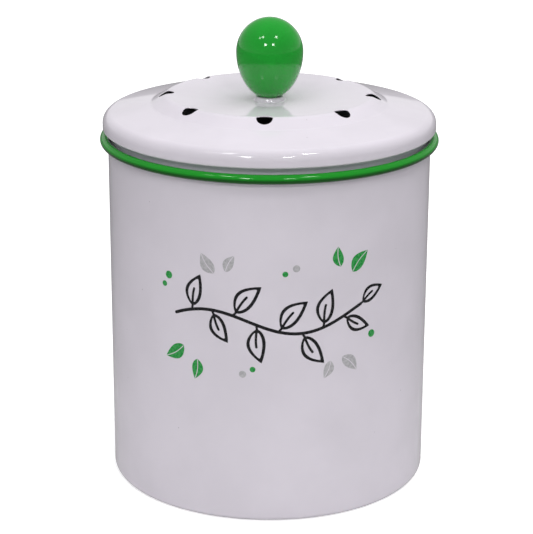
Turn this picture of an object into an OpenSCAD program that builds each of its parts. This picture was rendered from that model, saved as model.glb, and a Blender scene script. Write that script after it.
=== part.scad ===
// Compost caddy: an enamelled steel pot with a rolled rim, and a vented lift-off lid
// that holds a charcoal filter in a turn-lock tray.
// Millimetres, +Z up, front towards -Y. The origin is the centre of the base, on the ground.

/* [Body] */
// Outer diameter of the straight wall
body_d = 184; // [170:1:260]
// Height from the ground to the top of the rolled rim
rim_h = 200.7; // [120:0.1:320]
// Thickness of the enamelled steel sheet of the body
body_sheet = 0.7; // [0.5:0.1:1.2]
// Outer radius of the corner between the wall and the base
base_corner_r = 2.5; // [1.5:0.5:15]
// Width of the flat ring that the body stands on
base_ring_w = 19; // [6:1:30]
// How far the middle of the base is raised off the ground
base_recess = 1.2; // [0.5:0.1:3]

/* [Rolled rim] */
// Outer radius of the rolled bead
bead_r = 2.65; // [2:0.05:4]
// Gap between the end of the roll and the wall
bead_tuck_gap = 0.35; // [0.2:0.05:0.6]

/* [Lid] */
// How far the lid's edge stands out past the body wall
lid_overhang = 2.9; // [2:0.1:4]
// Height of the lid's hem above the top of the rim
hem_lift = 3.2; // [1:0.1:4]
// Thickness of the enamelled steel sheet of the lid
lid_sheet = 0.7; // [0.5:0.1:1]
// Outer radius of the bend into the hem
hem_bend_r = 1.2; // [1.1:0.1:2]
// How far the hem's lip reaches in under the lid
hem_lip_w = 3.3; // [2.4:0.1:4.5]
// Height of the lid's side, from the hem to the sharp shoulder corner
side_h = 8.9; // [8:0.1:14]
// Radius of the shoulder
shoulder_r = 6.2; // [3:0.1:7]
// Width of the sloping ledge between the shoulder and the raised panel
ledge_w = 27.5; // [22:0.5:30]
// Rise of the ledge from the shoulder to the raised panel
ledge_rise = 5.3; // [3:0.1:8]
// Radius of the hollow at the foot of the raised panel
step_foot_r = 5; // [3:0.5:7]
// Width of the slope up to the ridge of the raised panel
step_w = 8.7; // [7:0.1:11]
// Height of the ridge above its foot
step_rise = 5.1; // [3:0.1:6]
// Radius of the ridge
ridge_r = 6; // [3:0.5:8]
// Depth of the dished middle below the ridge
dish_depth = 3.7; // [1:0.1:4]
// Diameter of the boss that the knob stands on
boss_d = 16; // [14:0.5:20]
// Height of the boss above the dish
boss_h = 2.3; // [1.5:0.1:3]
// Radius of the bends of the boss
boss_bend_r = 0.8; // [0.75:0.05:1]

/* [Vents] */
// Number of vents round the ridge
vent_count = 8; // [4:1:12]
// Diameter of a vent
vent_d = 8.9; // [4:0.1:10]
// Angle of the first vent from the front, to the left
vent_turn = 2.5; // [0:0.25:22.5]
// Distance of the vents' centres inside the sharp corner of the ridge
vent_inset = -0.2; // [-1:0.1:2]

/* [Collar and gasket] */
// Thickness of the collar's steel sheet
collar_sheet = 0.6; // [0.4:0.1:0.8]
// Gap between the collar's neck and the wall of the mouth
collar_gap = 1.7; // [1.2:0.1:3]
// How far the collar reaches below the top of the rim
collar_depth = 13; // [12:0.5:20]
// Radius of the bend between the collar's neck and its flange
collar_bend_r = 1; // [0.9:0.1:1.5]
// Gap between the collar's flange and the lid's side
flange_gap = 0.6; // [0.4:0.1:1]
// Depth of the groove that holds the gasket
groove_depth = 1.6; // [1:0.1:2]
// Height of the neck between the rim's top and the groove
neck_drop = 2.4; // [1.5:0.1:4]
// Height of the turned-out foot under the groove
collar_foot_h = 0.8; // [0.5:0.1:1.5]
// Thickness of the gasket's sleeve
gasket_t = 1.4; // [1:0.1:1.5]
// Gap above and below the gasket in its groove
gasket_end_gap = 0.1; // [0.05:0.05:0.3]
// Thickness of a fin at its root
fin_t = 1.2; // [0.8:0.1:1.6]
// Thickness of a fin at its tip
fin_tip_t = 0.5; // [0.3:0.1:0.7]
// Number of fins
fin_count = 2; // [1:1:3]
// Gap between the fins and the wall of the mouth
fin_gap = 0.3; // [0.2:0.05:0.5]

/* [Filter tray] */
// Gap between the tray and the foot of the raised panel
tray_gap = 1.2; // [0.8:0.1:3]
// Gap between the tray's top and the lid above it
tray_top_gap = 0.6; // [0.3:0.1:1.5]
// Height of the tray's wall, outside
tray_h = 11.5; // [10:0.5:14]
// Thickness of the tray's wall
tray_wall = 1.4; // [1:0.1:2]
// Thickness of the tray's floor
tray_floor = 1.8; // [1.2:0.1:2.5]
// Diameter of an air hole in the floor
air_hole_d = 6; // [3:0.5:7]
// Distance between air holes, from centre to centre
air_hole_pitch = 10.5; // [10:0.5:15]
// Least land beside an air hole
air_hole_land = 1; // [0.5:0.1:2]
// Radius of the closed middle of the floor
tray_hub_r = 23.5; // [20:0.5:30]
// Length of the grip under the floor
grip_l = 44; // [20:1:46]
// Thickness of the grip
grip_t = 3; // [2:0.5:5]
// Height of the grip
grip_h = 7; // [4:0.5:8]
// Width of the round shoulder at the foot of the grip
grip_foot_w = 8; // [6:0.5:12]
// Thickness of that shoulder
grip_foot_t = 1; // [0.5:0.1:2]

/* [Turn lock] */
// Number of lugs on the tray, and of clips on the lid
lug_count = 3; // [2:1:4]
// Angle that a clip spans
clip_span = 8; // [6:0.5:12]
// Angle that a lug reaches past its clip's middle, on the side without the stop rib
lug_lead = 7; // [4:0.5:12]
// Angle of the first clip from the +X axis
clip_turn = 30; // [0:1:119]
// Thickness of a clip's strip
clip_t = 1.2; // [0.8:0.1:1.6]
// Gap between the tray's wall and a clip's strip
clip_reach = 5; // [3:0.1:6]
// Width of a clip's welded flange
clip_flange_w = 5; // [3:0.1:8]
// Overlap of a lug on a clip's foot
lug_overlap = 3; // [1.5:0.1:4]
// Thickness of a lug
lug_t = 1.5; // [1:0.1:2]
// Height of a lug's underside above the tray's bottom
lug_rise = 3.6; // [3:0.1:6]
// Angle that a stop rib spans
stop_span = 1.8; // [1:0.1:3]
// Running gap of the tray on the clips, and of its stops
run_gap = 0.3; // [0.2:0.05:0.5]

/* [Charcoal filter] */
// Thickness of the charcoal pad
pad_t = 6; // [4:0.5:7]
// Gap round and under the pad
pad_gap = 0.3; // [0.2:0.05:1]
// Bevel of the pad's edges
pad_bevel = 0.8; // [0.3:0.1:1.5]

/* [Knob] */
// Greatest diameter of the knob
knob_d = 38; // [24:0.5:50]
// Height of the knob
knob_h = 45; // [36:0.5:60]
// Diameter of the flat that the knob stands on
knob_flat_d = 12.4; // [10:0.1:15]
// Height of the knob's round top above its greatest diameter
knob_dome_h = 19.6; // [12:0.1:22]
// Diameter of the knob screw
screw_d = 4; // [3:0.5:5]
// Length of the knob screw under its head
screw_l = 14; // [10:0.5:18]
// Diameter of the screw's head
screw_head_d = 7.6; // [7:0.1:9]
// Height of the screw's head
screw_head_h = 2.6; // [1.5:0.1:3]
// Width of the cross slot in the head
slot_w = 1; // [0.6:0.1:1.2]
// Length of each arm of the cross slot
slot_l = 4.4; // [3:0.1:5]
// Depth of the cross slot
slot_depth = 1.5; // [0.8:0.1:1.5]
// Clearance of the screw in its holes, on diameter
screw_play = 0.6; // [0.3:0.1:1]
// Clearance of the screw in the insert's thread, on diameter
thread_play = 0.1; // [0.05:0.05:0.2]
// Diameter of the threaded insert
insert_d = 7; // [6:0.5:9]
// Diameter of the insert's waist
insert_waist_d = 6.2; // [5.6:0.1:8]
// Length of the insert
insert_l = 12; // [10:0.5:16]
// Length of each full end of the insert
insert_end_l = 4; // [2:0.5:4.5]
// How far the insert lies inside the knob's flat
insert_sink = 0.2; // [0.1:0.1:0.5]
// Room past the end of the screw
screw_end_gap = 1; // [0.5:0.1:3]
// Diameter of the flat washer
washer_d = 9; // [8.5:0.5:12]
// Thickness of the flat washer
washer_t = 1; // [0.5:0.1:1.2]
// Diameter of the spring washer
spring_washer_d = 7; // [6.5:0.1:8]
// Thickness of the spring washer
spring_washer_t = 0.9; // [0.5:0.1:1.2]
// Angle of the split in the spring washer
spring_washer_split = 12; // [6:1:20]

/* [Hidden] */
$fn = 96;
eps = 0.01;
bend_steps = 8;
curve_steps = 20;

enamel_white = "whitesmoke";
enamel_green = "forestgreen";
steel = "silver";
brass = "goldenrod";
silicone = "gainsboro";
tray_plastic = "dimgray";
charcoal = "#2b2b2d";

// Body and rim
body_r = body_d / 2;
mouth_r = body_r - body_sheet;
base_ring_r = body_r - base_corner_r;
recess_r = base_ring_r - base_ring_w;
bead_centre_r = mouth_r + bead_r;
bead_z = rim_h - bead_r;

// Lid, from the hem up and in
lid_r = body_r + lid_overhang;
hem_z = rim_h + hem_lift;
shoulder_z = hem_z + side_h;
step_foot_at = lid_r - ledge_w;
step_foot_z = shoulder_z + ledge_rise;
ridge_at = step_foot_at - step_w;
ridge_z = step_foot_z + step_rise;
dish_z = ridge_z - dish_depth;
boss_z = dish_z + boss_h;
screw_hole_r = (screw_d + screw_play) / 2;
vent_at = ridge_at - vent_inset;

// Collar and gasket
neck_r = mouth_r - collar_gap;
groove_r = neck_r - groove_depth;
flange_z = hem_z + lid_sheet;
flange_r = lid_r - lid_sheet - flange_gap;
groove_top_z = rim_h - neck_drop - groove_depth;
collar_z = rim_h - collar_depth;
groove_z = collar_z + collar_foot_h + groove_depth;
gasket_r = groove_r + gasket_t;
gasket_z = groove_z + gasket_end_gap;
gasket_top_z = groove_top_z - gasket_end_gap;
fin_step = (gasket_top_z - gasket_z) / (fin_count + 1);

// Filter tray and turn lock
tray_r = step_foot_at - tray_gap;
tray_bore_r = tray_r - tray_wall;
tray_top_z = step_foot_z - lid_sheet - tray_top_gap;
tray_z = tray_top_z - tray_h;
floor_z = tray_z + tray_floor;
clip_r = tray_r + clip_reach;
clip_foot_z = tray_z + lug_rise - run_gap;
lug_r = clip_r - run_gap;
lug_z = tray_z + lug_rise;
foot_tip_r = lug_r - lug_overlap;
clip_pitch = 360 / lug_count;
stop_play = run_gap / lug_r * 180 / PI;
air_ring_first = tray_hub_r + air_hole_d / 2 + air_hole_land;
air_ring_last = tray_bore_r - air_hole_d / 2 - air_hole_land;

// Knob stack
knob_top_z = boss_z + knob_h;
knob_wide_z = knob_top_z - knob_dome_h;
knob_r = knob_d / 2;
washer_z = boss_z - lid_sheet - washer_t;
spring_washer_z = washer_z - spring_washer_t;
screw_tip_z = spring_washer_z + screw_l;

function unit(v) = v / norm(v);
function reverse(v) = [for (i = [len(v) - 1 : -1 : 0]) v[i]];
function left_of(a, b) = let (d = unit(b - a)) [-d[1], d[0]];

// Arc of radius r round the corner p of the path a, p, b
function corner_arc(a, p, b, r) =
    let (u = unit(a - p))
    let (v = unit(b - p))
    let (half = acos(u * v) / 2)
    let (c = p + unit(u + v) * r / sin(half))
    let (s = p + u * r / tan(half) - c)
    let (start = atan2(s[1], s[0]))
    let (side = u[0] * v[1] - u[1] * v[0] > 0 ? -1 : 1)
    let (turn = side * (180 - 2 * half) / bend_steps)
    [for (i = [0 : bend_steps]) c + r * [cos(start + turn * i), sin(start + turn * i)]];

// Path through corners [x, z, bend radius]: a radius of 0 keeps the corner sharp
function bent_path(corners) =
    let (p = [for (c = corners) [c[0], c[1]]])
    [for (i = [0 : len(p) - 1])
        each corners[i][2] > 0 ? corner_arc(p[i - 1], p[i], p[i + 1], corners[i][2]) : [p[i]]];

// The path moved to its left by t, with mitred corners
function shifted(path, t) =
    let (last = len(path) - 1)
    [for (i = [0 : last])
        let (before = max(i - 1, 0))
        let (after = min(i, last - 1))
        let (n1 = left_of(path[before], path[before + 1]))
        let (n2 = left_of(path[after], path[after + 1]))
        path[i] + t * (n1 + n2) / (1 + n1 * n2)];

// Section of a sheet that lies between a path and the same path moved by t
function sheet_section(path, t) = concat(path, reverse(shifted(path, t)));

body_path = bent_path([
    [0, base_recess, 0],
    [recess_r, base_recess, base_recess],
    [recess_r + 2 * base_recess, 0, base_recess],
    [body_r, 0, base_corner_r],
    [body_r, bead_z, 0]]);

pan_path = bent_path([
    [lid_r - hem_lip_w, hem_z, 0],
    [lid_r, hem_z, hem_bend_r],
    [lid_r, shoulder_z, shoulder_r],
    [step_foot_at, step_foot_z, step_foot_r],
    [ridge_at, ridge_z, ridge_r],
    [boss_d / 2 + boss_bend_r, dish_z, boss_bend_r],
    [boss_d / 2, boss_z, boss_bend_r],
    [screw_hole_r, boss_z, 0]]);

collar_path = bent_path([
    [flange_r, flange_z, 0],
    [neck_r, flange_z, collar_bend_r],
    [neck_r, groove_top_z + groove_depth, 0],
    [groove_r, groove_top_z, 0],
    [groove_r, groove_z, 0],
    [neck_r, groove_z - groove_depth, 0],
    [neck_r, collar_z, 0]]);

tail_a = -acos((body_r + bead_tuck_gap - bead_centre_r) / bead_r);

// The rim's roll at radius r, from the top of the wall to its tucked end
function bead_arc(r) =
    [for (i = [0 : 2 * curve_steps])
        let (a = 180 + (tail_a - 180) * i / (2 * curve_steps))
        [bead_centre_r + r * cos(a), bead_z + r * sin(a)]];

// Knob: a half ellipse below the widest place, cut off at the flat, and a round top above it
knob_low_h = (knob_wide_z - boss_z) / sqrt(1 - pow(knob_flat_d / knob_d, 2));
knob_cut_a = -asin((knob_wide_z - boss_z) / knob_low_h);
knob_section = concat(
    [[0, boss_z]],
    [for (i = [0 : curve_steps])
        let (a = knob_cut_a * (1 - i / curve_steps))
        [knob_r * cos(a), knob_wide_z + knob_low_h * sin(a)]],
    [for (i = [1 : curve_steps - 1])
        let (a = 90 * i / curve_steps)
        [knob_r * cos(a), knob_wide_z + knob_dome_h * sin(a)]],
    [[0, knob_top_z]]);

// A ring of section "path", t thick
module sheet_ring(path, t) {
    rotate_extrude() polygon(sheet_section(path, t));
}

// The children, turned to each clip's place
module at_clips() {
    for (i = [0 : lug_count - 1])
        rotate([0, 0, clip_turn + i * clip_pitch]) children();
}

// A block between two radii, two heights and two angles
module sector(r0, r1, z0, z1, a0, a1) {
    rotate([0, 0, a0])
        rotate_extrude(angle = a1 - a0)
            translate([r0, z0]) square([r1 - r0, z1 - z0]);
}

// Deep-drawn pot: straight wall, rounded corner and raised base panel
module body_shell() {
    color(enamel_white) sheet_ring(body_path, body_sheet);
}

// The wall's top edge, rolled outwards into a bead
module rim_bead() {
    color(enamel_green) rotate_extrude()
        polygon(concat(bead_arc(bead_r), reverse(bead_arc(bead_r - body_sheet))));
}

// Pressed lid with a hemmed edge, a raised ridge with vents, a dished middle and a boss
module lid_pan() {
    color(enamel_white) difference() {
        sheet_ring(pan_path, lid_sheet);
        for (i = [0 : vent_count - 1])
            rotate([0, 0, -vent_turn - 90 + i * 360 / vent_count])
                translate([vent_at, 0, dish_z - lid_sheet]) cylinder(d = vent_d, h = ridge_z);
    }
}

// Ring welded into the hem, with a neck that drops into the mouth and a groove for the gasket
module lid_collar() {
    color(enamel_white) sheet_ring(collar_path, -collar_sheet);
}

// Silicone sleeve with fins that press on the wall of the mouth
module lid_gasket() {
    color(silicone) rotate_extrude() {
        translate([groove_r, gasket_z]) square([gasket_t, gasket_top_z - gasket_z]);
        for (i = [1 : fin_count])
            translate([0, gasket_z + i * fin_step])
                polygon([
                    [groove_r + eps, -fin_t / 2],
                    [gasket_r, -fin_t / 2],
                    [mouth_r - fin_gap, fin_t / 2 - fin_tip_t],
                    [mouth_r - fin_gap, fin_t / 2],
                    [groove_r + eps, fin_t / 2]]);
    }
}

// Section of a clip: a flange along the lid's underside, a strip down from it and a foot turned in
module clip_section() {
    flange_band = concat(shifted(pan_path, lid_sheet), reverse(shifted(pan_path, lid_sheet + clip_t)));
    under_lid = concat(shifted(pan_path, lid_sheet), [[screw_hole_r, hem_z]]);
    intersection() {
        polygon(flange_band);
        translate([clip_r, clip_foot_z]) square([clip_t + clip_flange_w, ridge_z - clip_foot_z]);
    }
    intersection() {
        polygon(under_lid);
        translate([clip_r, clip_foot_z - clip_t]) square([clip_t, ridge_z - clip_foot_z]);
    }
    translate([foot_tip_r, clip_foot_z - clip_t]) square([clip_r + eps - foot_tip_r, clip_t]);
}

// Spot-welded clips that hold the tray's lugs
module filter_clips() {
    color(steel) at_clips()
        rotate([0, 0, -clip_span / 2]) rotate_extrude(angle = clip_span) clip_section();
}

// Outside of the threaded insert, with its waist
module insert_outside() {
    translate([0, 0, boss_z + insert_sink]) {
        cylinder(d = insert_d, h = insert_end_l);
        cylinder(d = insert_waist_d, h = insert_l);
        translate([0, 0, insert_l - insert_end_l]) cylinder(d = insert_d, h = insert_end_l);
    }
}

// Knob moulded round the threaded insert
module knob() {
    color(enamel_green) difference() {
        rotate_extrude() polygon(knob_section);
        insert_outside();
        translate([0, 0, boss_z - eps]) cylinder(d = insert_d, h = insert_sink + 2 * eps);
        translate([0, 0, boss_z])
            cylinder(d = screw_d + thread_play, h = screw_tip_z - boss_z + screw_end_gap);
    }
}

// Brass insert whose waist locks it into the knob
module knob_insert() {
    color(brass) difference() {
        insert_outside();
        translate([0, 0, boss_z]) cylinder(d = screw_d + thread_play, h = insert_sink + insert_l + eps);
    }
}

// Cross-slotted screw that holds the knob from inside the lid
module knob_screw() {
    color(steel) translate([0, 0, spring_washer_z]) difference() {
        union() {
            cylinder(d = screw_d, h = screw_l);
            translate([0, 0, -screw_head_h]) cylinder(d = screw_head_d, h = screw_head_h);
        }
        for (a = [0, 90])
            rotate([0, 0, a])
                translate([-slot_l / 2, -slot_w / 2, -screw_head_h - eps])
                    cube([slot_l, slot_w, slot_depth + eps]);
    }
}

// Split washer that keeps the screw tight
module spring_washer() {
    color(steel)
        rotate_extrude(angle = 360 - spring_washer_split)
            translate([screw_hole_r, spring_washer_z])
                square([spring_washer_d / 2 - screw_hole_r, spring_washer_t]);
}

// Plain washer under the lid's boss
module flat_washer() {
    color(steel) translate([0, 0, washer_z]) difference() {
        cylinder(d = washer_d, h = washer_t);
        translate([0, 0, -eps]) cylinder(r = screw_hole_r, h = washer_t + 2 * eps);
    }
}

// Rings of air holes through the tray's floor
module air_holes() {
    for (r = [air_ring_first : air_hole_pitch : air_ring_last]) {
        count = floor(2 * PI * r / air_hole_pitch);
        for (i = [0 : count - 1])
            rotate([0, 0, i * 360 / count])
                translate([r, 0, tray_z - eps]) cylinder(d = air_hole_d, h = tray_floor + 2 * eps);
    }
}

// Bar under the floor that turns the tray by hand
module tray_grip() {
    translate([0, 0, tray_z - grip_h]) {
        translate([-grip_l / 2, -grip_t / 2, 0]) cube([grip_l, grip_t, grip_h + eps]);
        for (x = [-1, 1])
            translate([x * grip_l / 2, 0, 0]) cylinder(d = grip_t, h = grip_h + eps);
    }
    translate([0, 0, tray_z - grip_foot_t]) cylinder(d = grip_foot_w, h = grip_foot_t + eps);
}

// A lug that lies on a clip's foot, with a rib at its end that stops it there
module tray_lug() {
    rib_a = -clip_span / 2 - stop_play;
    root_r = tray_r - tray_wall / 2;
    sector(root_r, lug_r, lug_z, lug_z + lug_t, rib_a, lug_lead);
    sector(root_r, lug_r, clip_foot_z - clip_t, lug_z + lug_t, rib_a - stop_span, rib_a);
}

// Perforated cup that holds the charcoal pad and turns to lock
module filter_tray() {
    color(tray_plastic) {
        difference() {
            union() {
                rotate_extrude()
                    polygon([
                        [0, tray_z],
                        [tray_r, tray_z],
                        [tray_r, tray_top_z],
                        [tray_bore_r, tray_top_z],
                        [tray_bore_r, floor_z],
                        [0, floor_z]]);
                at_clips() tray_lug();
            }
            air_holes();
        }
        tray_grip();
    }
}

// Round pad of charcoal felt
module charcoal_filter() {
    pad_r = tray_bore_r - pad_gap;
    pad_z = floor_z + pad_gap;
    color(charcoal) rotate_extrude()
        polygon([
            [0, pad_z],
            [pad_r - pad_bevel, pad_z],
            [pad_r, pad_z + pad_bevel],
            [pad_r, pad_z + pad_t - pad_bevel],
            [pad_r - pad_bevel, pad_z + pad_t],
            [0, pad_z + pad_t]]);
}

body_shell();
rim_bead();
lid_pan();
lid_collar();
lid_gasket();
filter_clips();
knob();
knob_insert();
knob_screw();
spring_washer();
flat_washer();
filter_tray();
charcoal_filter();
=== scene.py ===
"""Round enamelled compost caddy, dressed for rendering.

A deep-drawn pot with a rolled green rim stands on a flat base ring. Its vented lid drops in with a
gasketed collar, carries a green knob, and holds a charcoal filter in a tray that locks with a turn.
All sizes are in metres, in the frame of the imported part: +Z up the caddy's axis, front towards -Y.
"""

import logging
import math
from dataclasses import dataclass, field
from enum import Enum
from itertools import accumulate
from typing import Sequence

import bmesh
import bpy
from mathutils import Matrix, Vector, noise


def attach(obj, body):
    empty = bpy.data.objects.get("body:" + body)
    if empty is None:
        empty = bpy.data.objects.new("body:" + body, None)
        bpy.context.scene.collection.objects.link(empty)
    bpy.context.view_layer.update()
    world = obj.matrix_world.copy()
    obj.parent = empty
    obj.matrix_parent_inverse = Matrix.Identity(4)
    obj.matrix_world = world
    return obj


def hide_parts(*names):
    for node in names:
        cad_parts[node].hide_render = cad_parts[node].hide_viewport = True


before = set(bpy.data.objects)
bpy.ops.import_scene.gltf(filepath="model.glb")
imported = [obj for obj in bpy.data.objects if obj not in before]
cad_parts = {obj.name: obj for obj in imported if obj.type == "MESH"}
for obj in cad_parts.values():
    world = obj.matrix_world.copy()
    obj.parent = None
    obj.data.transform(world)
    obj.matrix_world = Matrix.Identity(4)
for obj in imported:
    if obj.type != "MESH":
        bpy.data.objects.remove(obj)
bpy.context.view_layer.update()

Triple = tuple[float, float, float]
Colour = Triple
Path = Sequence[Vector]
Mesh = bmesh.types.BMesh
Material = bpy.types.Material
Piece = bpy.types.Object
Socket = bpy.types.NodeSocket

WELD = 2e-6  # distance within which vertices are joined
SECTORS = 8  # copies that make a full turn
AROUND = 320  # pieces in the full turn of a large ring
SHARP = math.radians(38)  # angle from which an edge is shaded as sharp
EASE = 0.00012  # radius of an eased cut edge
STAGE_STEPS = 96  # pieces in the full turn of the floor and the cards
log = logging.getLogger("caddy")


class Body(Enum):
    """The bodies that a piece can ride on."""

    CADDY = "caddy"
    LID = "lid"
    TRAY = "tray"


class Slot(Enum):
    """The names of the part's material slots."""

    BODY = "body_enamel"
    RIM = "rim_enamel"
    LID = "lid_enamel"
    GASKET = "gasket_silicone"
    CLIP = "clip_steel"
    KNOB = "knob_green"
    TRAY = "tray_plastic"
    FILTER = "charcoal_felt"


class Ink(Enum):
    """The colours that the decoration is printed in."""

    BLACK = "black"
    GREEN = "green"
    GREY = "grey"


# ---------------------------------------------------------------- sections and meshes


@dataclass(frozen=True)
class Corner:
    """A corner of a section.

    Attributes:
        r: Distance from the axis.
        z: Height.
        bend: Bend radius, or 0 for a sharp corner.
    """

    r: float
    z: float
    bend: float = 0.0

    @property
    def at(self) -> Vector:
        """The corner as a point of the section."""
        return Vector((self.r, self.z))


def bent_path(corners: Sequence[Corner], steps: int = 8, longest: float = 0.012) -> list[Vector]:
    """Follows a section's corners, rounds those that have a bend and divides long runs.

    Args:
        corners: The corners in order.
        steps: Straight pieces in each bend.
        longest: Longest straight piece.

    Returns:
        Points (r, z) along the section.
    """
    path: list[Vector] = []
    for i, corner in enumerate(corners):
        bend = [corner.at]
        if corner.bend > 0:
            back = (corners[i - 1].at - corner.at).normalized()
            onward = (corners[i + 1].at - corner.at).normalized()
            half = back.angle(onward) / 2
            centre = corner.at + (back + onward).normalized() * (corner.bend / math.sin(half))
            spoke = corner.at + back * (corner.bend / math.tan(half)) - centre
            turn = math.pi - 2 * half
            if back.x * onward.y - back.y * onward.x > 0:
                turn = -turn
            bend = [centre + turned(spoke, turn * k / steps) for k in range(steps + 1)]
        if path:
            run = bend[0] - path[-1]
            cuts = max(1, math.ceil(run.length / longest))
            path += [path[-1] + run * (k / cuts) for k in range(1, cuts)]
        path += bend
    return path


def turned(v: Vector, angle: float) -> Vector:
    """Turns a flat vector by an angle in radians."""
    c, s = math.cos(angle), math.sin(angle)
    return Vector((v.x * c - v.y * s, v.x * s + v.y * c))


def arc(centre: Vector, r: float, start: float, stop: float, steps: int) -> list[Vector]:
    """Divides an arc, with its angles in degrees, into steps + 1 points."""
    angles = [math.radians(start + (stop - start) * k / steps) for k in range(steps + 1)]
    return [centre + Vector((r * math.cos(a), r * math.sin(a))) for a in angles]


def offset_path(path: Path, distance: float) -> list[Vector]:
    """Moves a path to its left, with mitred corners.

    Args:
        path: Points (r, z).
        distance: How far to move it; negative moves it to the right.

    Returns:
        As many points as the path has.
    """
    runs = [(b - a).normalized() for a, b in zip(path, path[1:])]
    left = [Vector((-run.y, run.x)) for run in runs]
    before, after = [left[0], *left], [*left, left[-1]]
    return [p + (a + b) * (distance / (1 + a.dot(b))) for p, a, b in zip(path, before, after)]


def sheet_section(path: Path, thickness: float) -> list[Vector]:
    """Outline of a sheet between a path and the same path moved to its left."""
    return [*path, *reversed(offset_path(path, thickness))]


def height_at(path: Path, r: float) -> float:
    """Height of a path that runs towards the axis where it passes a given radius.

    Args:
        path: Points (r, z), from the outside in.
        r: The radius.

    Returns:
        The height there.

    Raises:
        ValueError: If the path doesn't reach the radius.
    """
    for a, b in zip(path, path[1:]):
        if b.x <= r <= a.x:
            return a.y + (b.y - a.y) * (a.x - r) / (a.x - b.x)
    raise ValueError(f"the path doesn't reach the radius {r}")


def spun_sector(section: Path, steps: int, closed: bool, start: float = 0.0) -> Mesh:
    """Spins a section through one sector of the full turn.

    Args:
        section: Points (r, z).
        steps: Pieces in the sector.
        closed: Whether the last point joins the first; if not, both ends lie on the axis.
        start: Angle at which the sector starts.

    Returns:
        The sector's mesh, open at both of its ends.
    """
    bm = bmesh.new()
    turn = Matrix.Rotation(start, 3, "Z")
    verts = [bm.verts.new(turn @ Vector((p.x, 0.0, p.y))) for p in section]
    pairs = list(zip(verts, verts[1:])) + ([(verts[-1], verts[0])] if closed else [])
    edges = [bm.edges.new(pair) for pair in pairs]
    bmesh.ops.spin(
        bm,
        geom=verts + edges,
        cent=(0, 0, 0),
        axis=(0, 0, 1),
        angle=math.tau / SECTORS,
        steps=steps,
        use_merge=False,
    )
    return bm


def full_turn(bm: Mesh) -> Mesh:
    """Repeats a sector round the axis, joins the copies and turns their faces outwards.

    Args:
        bm: One sector, open at both ends.

    Returns:
        The same mesh, closed round the axis.
    """
    sector = bm.verts[:] + bm.edges[:] + bm.faces[:]
    for k in range(1, SECTORS):
        copy = bmesh.ops.duplicate(bm, geom=sector)["geom"]
        bmesh.ops.rotate(
            bm,
            verts=[g for g in copy if isinstance(g, bmesh.types.BMVert)],
            cent=(0, 0, 0),
            matrix=Matrix.Rotation(math.tau * k / SECTORS, 3, "Z"),
        )
    bmesh.ops.remove_doubles(bm, verts=bm.verts, dist=WELD)
    bmesh.ops.recalc_face_normals(bm, faces=bm.faces)
    return bm


def spun(section: Path, steps: int, closed: bool) -> Mesh:
    """Spins a section about the vertical axis, with steps pieces in the full turn."""
    return full_turn(spun_sector(section, steps // SECTORS, closed))


def eased(bm: Mesh, radius: float = EASE, segments: int = 2) -> Mesh:
    """Rounds the sharp edges of a mesh.

    Args:
        bm: The mesh.
        radius: Radius of the rounding.
        segments: Strips in it.

    Returns:
        The same mesh.
    """
    edges = [e for e in bm.edges if e.is_manifold and e.calc_face_angle(0.0) > SHARP]
    bmesh.ops.bevel(
        bm,
        geom=edges,
        offset=radius,
        offset_type="OFFSET",
        segments=segments,
        profile=0.5,
        affect="EDGES",
        clamp_overlap=True,
        material=-1,
    )
    return bm


def linked(name: str, bm: Mesh) -> Piece:
    """Puts a mesh into the scene as an object, and frees it.

    Args:
        name: The object's name.
        bm: The mesh.

    Returns:
        The new object.
    """
    mesh = bpy.data.meshes.new(name)
    bm.to_mesh(mesh)
    bm.free()
    thing = bpy.data.objects.new(name, mesh)
    bpy.context.scene.collection.objects.link(thing)
    return thing


def merged_copy(node: str) -> Mesh:
    """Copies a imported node's mesh and joins its loose triangles.

    Args:
        node: The node's name.

    Returns:
        The joined mesh.
    """
    bm = bmesh.new()
    bm.from_mesh(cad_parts[node].data)
    bmesh.ops.remove_doubles(bm, verts=bm.verts, dist=WELD)
    return bm


# ---------------------------------------------------------------- finishes


def linear(r: int, g: int, b: int) -> Colour:
    """Turns a screen colour from 0 to 255 into the linear colour that a shader takes.

    Args:
        r: Its red.
        g: Its green.
        b: Its blue.

    Returns:
        The linear colour.
    """

    def channel(v: int) -> float:
        """One channel of it."""
        x = v / 255
        return x / 12.92 if x <= 0.04045 else ((x + 0.055) / 1.055) ** 2.4

    return channel(r), channel(g), channel(b)


def scaled(colour: Colour, k: float) -> Colour:
    """Makes a colour lighter or darker."""
    return tuple(min(1.0, c * k) for c in colour)


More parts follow.
